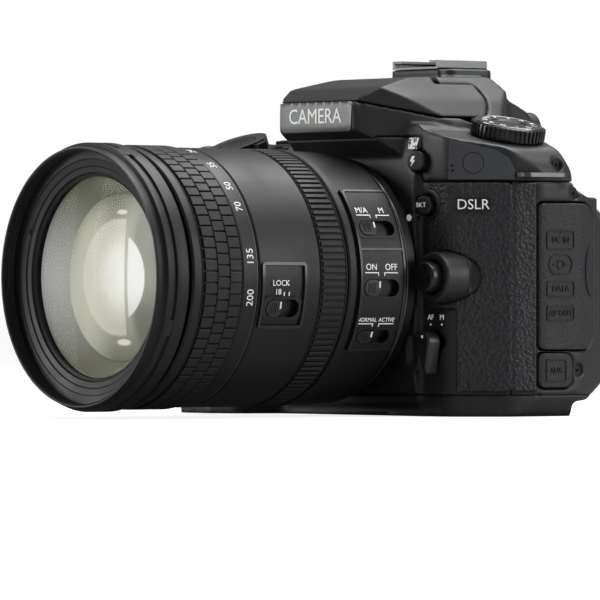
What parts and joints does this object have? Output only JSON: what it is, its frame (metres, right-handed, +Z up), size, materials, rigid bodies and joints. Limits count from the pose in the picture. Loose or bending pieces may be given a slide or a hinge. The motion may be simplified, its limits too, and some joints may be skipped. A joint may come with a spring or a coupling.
{
  "type": "dslr camera",
  "caption": "Interchangeable-lens reflex camera body with grip, pop-up flash, hot shoe and a telescoping zoom lens on a bayonet mount.",
  "frame": {"origin": "centre of the tripod socket's mouth on the base plane, under the optical axis", "axes": "+X to the right seen from the front, +Y from the lens to the back, +Z up"},
  "size_m": [0.1333, 0.1583, 0.1034],
  "materials": {
    "black_polycarbonate": "fine textured black shell",
    "gloss_black": "smooth black",
    "pebbled_rubber": "pebbled black rubber",
    "soft_rubber": "smooth black rubber",
    "button_plastic": "satin dark plastic",
    "polished_steel": "polished steel",
    "satin_steel": "satin steel",
    "black_screw": "blackened steel",
    "lens_black": "satin black lacquer",
    "optical_glass": "coated optical glass",
    "display_glass": "dark glossy window",
    "flash_diffuser": "ribbed clear window",
    "inner_plastic": "flat black",
    "circuit_board": "green board",
    "battery_case": "grey plastic",
    "card_plastic": "blue plastic",
    "mirror_coating": "front-silvered mirror",
    "sensor_glass": "filter glass"
  },
  "bodies": {
    "camera_body": {"front_casing": "black_polycarbonate", "top_cover": "black_polycarbonate", "rear_cover": "black_polycarbonate", "bottom_cover": "black_polycarbonate", "rubber_skins": "pebbled_rubber", "body_mount_ring": "polished_steel", "mirror_box": "inner_plastic", "shutter_unit": "inner_plastic", "image_sensor": "sensor_glass", "pentaprism": "optical_glass", "eyepiece_lens": "optical_glass", "eyecup": "soft_rubber", "rear_display": "display_glass", "top_display": "display_glass", "main_board": "circuit_board", "hot_shoe": "satin_steel", "strap_eyelets": "polished_steel", "casing_screws": "black_screw", "tripod_bush": "satin_steel", "battery": "battery_case", "memory_card": "card_plastic"},
    "flash": {"flash_head": "black_polycarbonate", "flash_window": "flash_diffuser"},
    "lens": {"lens_barrel": "lens_black", "lens_mount": "polished_steel", "rear_lens_group": "optical_glass"},
    "zoom_ring": {"zoom_ring": "lens_black", "zoom_rubber": "soft_rubber"},
    "middle_tube": {"middle_tube": "lens_black", "inner_lens_group": "optical_glass"},
    "front_tube": {"front_tube": "lens_black", "front_element": "optical_glass"},
    "focus_ring": {"focus_ring": "lens_black"},
    "zoom_lock_switch": {"zoom_lock_switch": "gloss_black"},
    "lens_focus_switch": {"lens_focus_switch": "gloss_black"},
    "stabiliser_switch": {"stabiliser_switch": "gloss_black"},
    "stabiliser_mode_switch": {"stabiliser_mode_switch": "gloss_black"},
    "reflex_mirror": {"reflex_mirror": "mirror_coating"},
    "mode_dial": {"mode_dial": "gloss_black"},
    "rear_command_dial": {"rear_command_dial": "soft_rubber"},
    "front_command_dial": {"front_command_dial": "soft_rubber"},
    "power_switch": {"power_switch": "gloss_black"},
    "shutter_button": {"shutter_button": "satin_steel"},
    "flash_button": {"flash_button": "button_plastic"},
    "bracket_button": {"bracket_button": "button_plastic"},
    "preview_button": {"preview_button": "button_plastic"},
    "function_button": {"function_button": "button_plastic"},
    "menu_button": {"menu_button": "button_plastic"},
    "playback_button": {"playback_button": "button_plastic"},
    "zoom_button": {"zoom_button": "button_plastic"},
    "live_view_button": {"live_view_button": "button_plastic"},
    "metering_button": {"metering_button": "button_plastic"},
    "exposure_button": {"exposure_button": "button_plastic"},
    "lens_release_button": {"lens_release_button": "gloss_black"},
    "focus_mode_lever": {"focus_mode_lever": "gloss_black"},
    "multi_selector": {"multi_selector": "button_plastic"},
    "card_door": {"card_door": "black_polycarbonate"},
    "battery_door": {"battery_door": "black_polycarbonate"},
    "connector_cover": {"connector_cover": "soft_rubber"},
    "remote_cover": {"remote_cover": "soft_rubber"}
  },
  "joints": [
    {"name": "lens_twist", "type": "hinge", "parent": "camera_body", "child": "lens", "pos_m": [0, -0.022, 0.0398], "axis": [0, 1, 0], "range_deg": [0, 60]},
    {"name": "zoom_turn", "type": "hinge", "parent": "lens", "child": "zoom_ring", "pos_m": [0, -0.097, 0.0398], "axis": [0, -1, 0], "range_deg": [0, 99]},
    {"name": "middle_tube_slide", "type": "slide", "parent": "lens", "child": "middle_tube", "axis": [0, -1, 0], "range_m": [0, 0.0325]},
    {"name": "front_tube_slide", "type": "slide", "parent": "lens", "child": "front_tube", "axis": [0, -1, 0], "range_m": [0, 0.065]},
    {"name": "focus_turn", "type": "hinge", "parent": "lens", "child": "focus_ring", "pos_m": [0, -0.055, 0.0398], "axis": [0, -1, 0], "range_deg": [0, 50]},
    {"name": "zoom_lock_switch_slide", "type": "slide", "parent": "lens", "child": "zoom_lock_switch", "axis": [0, 1, 0], "range_m": [0, 0.00588]},
    {"name": "lens_focus_switch_slide", "type": "slide", "parent": "lens", "child": "lens_focus_switch", "axis": [0, 1, 0], "range_m": [0, 0.00642]},
    {"name": "stabiliser_switch_slide", "type": "slide", "parent": "lens", "child": "stabiliser_switch", "axis": [0, 1, 0], "range_m": [0, 0.00642]},
    {"name": "stabiliser_mode_switch_slide", "type": "slide", "parent": "lens", "child": "stabiliser_mode_switch", "axis": [0, 1, 0], "range_m": [0, 0.00588]},
    {"name": "flash_lift", "type": "hinge", "parent": "camera_body", "child": "flash", "pos_m": [0, 0.002, 0.0936], "axis": [-1, 0, 0], "range_deg": [0, 60]},
    {"name": "mirror_swing", "type": "hinge", "parent": "camera_body", "child": "reflex_mirror", "pos_m": [0, 0.0145, 0.059], "axis": [-1, 0, 0], "range_deg": [0, 45]},
    {"name": "mode_dial_turn", "type": "hinge", "parent": "camera_body", "child": "mode_dial", "pos_m": [0.042, 0.0049, 0.0846], "axis": [0.225, 0, 0.9744], "continuous": true},
    {"name": "rear_dial_turn", "type": "hinge", "parent": "camera_body", "child": "rear_command_dial", "pos_m": [-0.052, 0.0308, 0.072], "axis": [0, 0, 1], "continuous": true},
    {"name": "front_dial_turn", "type": "hinge", "parent": "camera_body", "child": "front_command_dial", "pos_m": [-0.054, -0.027, 0.061], "axis": [0, 0, 1], "continuous": true},
    {"name": "power_switch_turn", "type": "hinge", "parent": "camera_body", "child": "power_switch", "pos_m": [-0.047, -0.025, 0.0804], "axis": [0, -0.342, 0.9397], "range_deg": [0, 40]},
    {"name": "shutter_button_press", "type": "slide", "parent": "camera_body", "child": "shutter_button", "axis": [0, 0.342, -0.9397], "range_m": [0, 0.0006], "stiffness_N_per_m": 300},
    {"name": "flash_button_press", "type": "slide", "parent": "camera_body", "child": "flash_button", "axis": [-0.33, 0.9428, -0.0471], "range_m": [0, 0.0006], "stiffness_N_per_m": 300},
    {"name": "bracket_button_press", "type": "slide", "parent": "camera_body", "child": "bracket_button", "axis": [-0.2873, 0.9578, 0], "range_m": [0, 0.0006], "stiffness_N_per_m": 300},
    {"name": "preview_button_press", "type": "slide", "parent": "camera_body", "child": "preview_button", "axis": [0.7071, 0.7071, 0], "range_m": [0, 0.0006], "stiffness_N_per_m": 300},
    {"name": "function_button_press", "type": "slide", "parent": "camera_body", "child": "function_button", "axis": [0.7071, 0.7071, 0], "range_m": [0, 0.0006], "stiffness_N_per_m": 300},
    {"name": "menu_button_press", "type": "slide", "parent": "camera_body", "child": "menu_button", "axis": [0, -1, 0], "range_m": [0, 0.0006], "stiffness_N_per_m": 300},
    {"name": "playback_button_press", "type": "slide", "parent": "camera_body", "child": "playback_button", "axis": [0, -1, 0], "range_m": [0, 0.0006], "stiffness_N_per_m": 300},
    {"name": "zoom_button_press", "type": "slide", "parent": "camera_body", "child": "zoom_button", "axis": [0, -1, 0], "range_m": [0, 0.0006], "stiffness_N_per_m": 300},
    {"name": "live_view_button_press", "type": "slide", "parent": "camera_body", "child": "live_view_button", "axis": [0, -1, 0], "range_m": [0, 0.0006], "stiffness_N_per_m": 300},
    {"name": "metering_button_press", "type": "slide", "parent": "camera_body", "child": "metering_button", "axis": [0, 0, -1], "range_m": [0, 0.0006], "stiffness_N_per_m": 300},
    {"name": "exposure_button_press", "type": "slide", "parent": "camera_body", "child": "exposure_button", "axis": [0, 0, -1], "range_m": [0, 0.0006], "stiffness_N_per_m": 300},
    {"name": "lens_release_button_press", "type": "slide", "parent": "camera_body", "child": "lens_release_button", "axis": [0, 1, 0], "range_m": [0, 0.002], "stiffness_N_per_m": 200},
    {"name": "focus_mode_turn", "type": "hinge", "parent": "camera_body", "child": "focus_mode_lever", "pos_m": [0.0365, -0.022, 0.0213], "axis": [0, 1, 0], "range_deg": [0, 38]},
    {"name": "multi_selector_tilt", "type": "hinge", "parent": "camera_body", "child": "multi_selector", "pos_m": [-0.049, 0.0376, 0.042], "axis": [0, 0, 1], "range_deg": [-3, 3], "stiffness_Nm_per_rad": 0.02},
    {"name": "card_door_open", "type": "hinge", "parent": "camera_body", "child": "card_door", "pos_m": [-0.0727, 0.0115, 0.039], "axis": [0, 0, 1], "range_deg": [0, 85]},
    {"name": "battery_door_open", "type": "hinge", "parent": "camera_body", "child": "battery_door", "pos_m": [-0.044, -0.003, 0.0003], "axis": [0, -1, 0], "range_deg": [0, 90]},
    {"name": "connector_cover_open", "type": "hinge", "parent": "camera_body", "child": "connector_cover", "pos_m": [0.0578, 0.003, 0.04], "axis": [0, 0, -1], "range_deg": [0, 100]},
    {"name": "remote_cover_open", "type": "hinge", "parent": "camera_body", "child": "remote_cover", "pos_m": [0.0578, 0.003, 0.013], "axis": [0, 0, -1], "range_deg": [0, 100]}
  ],
  "couplings": [
    {"joint": "middle_tube_slide", "follows": "zoom_turn", "m_per_rad": 0.018808},
    {"joint": "front_tube_slide", "follows": "zoom_turn", "m_per_rad": 0.037617}
  ]
}
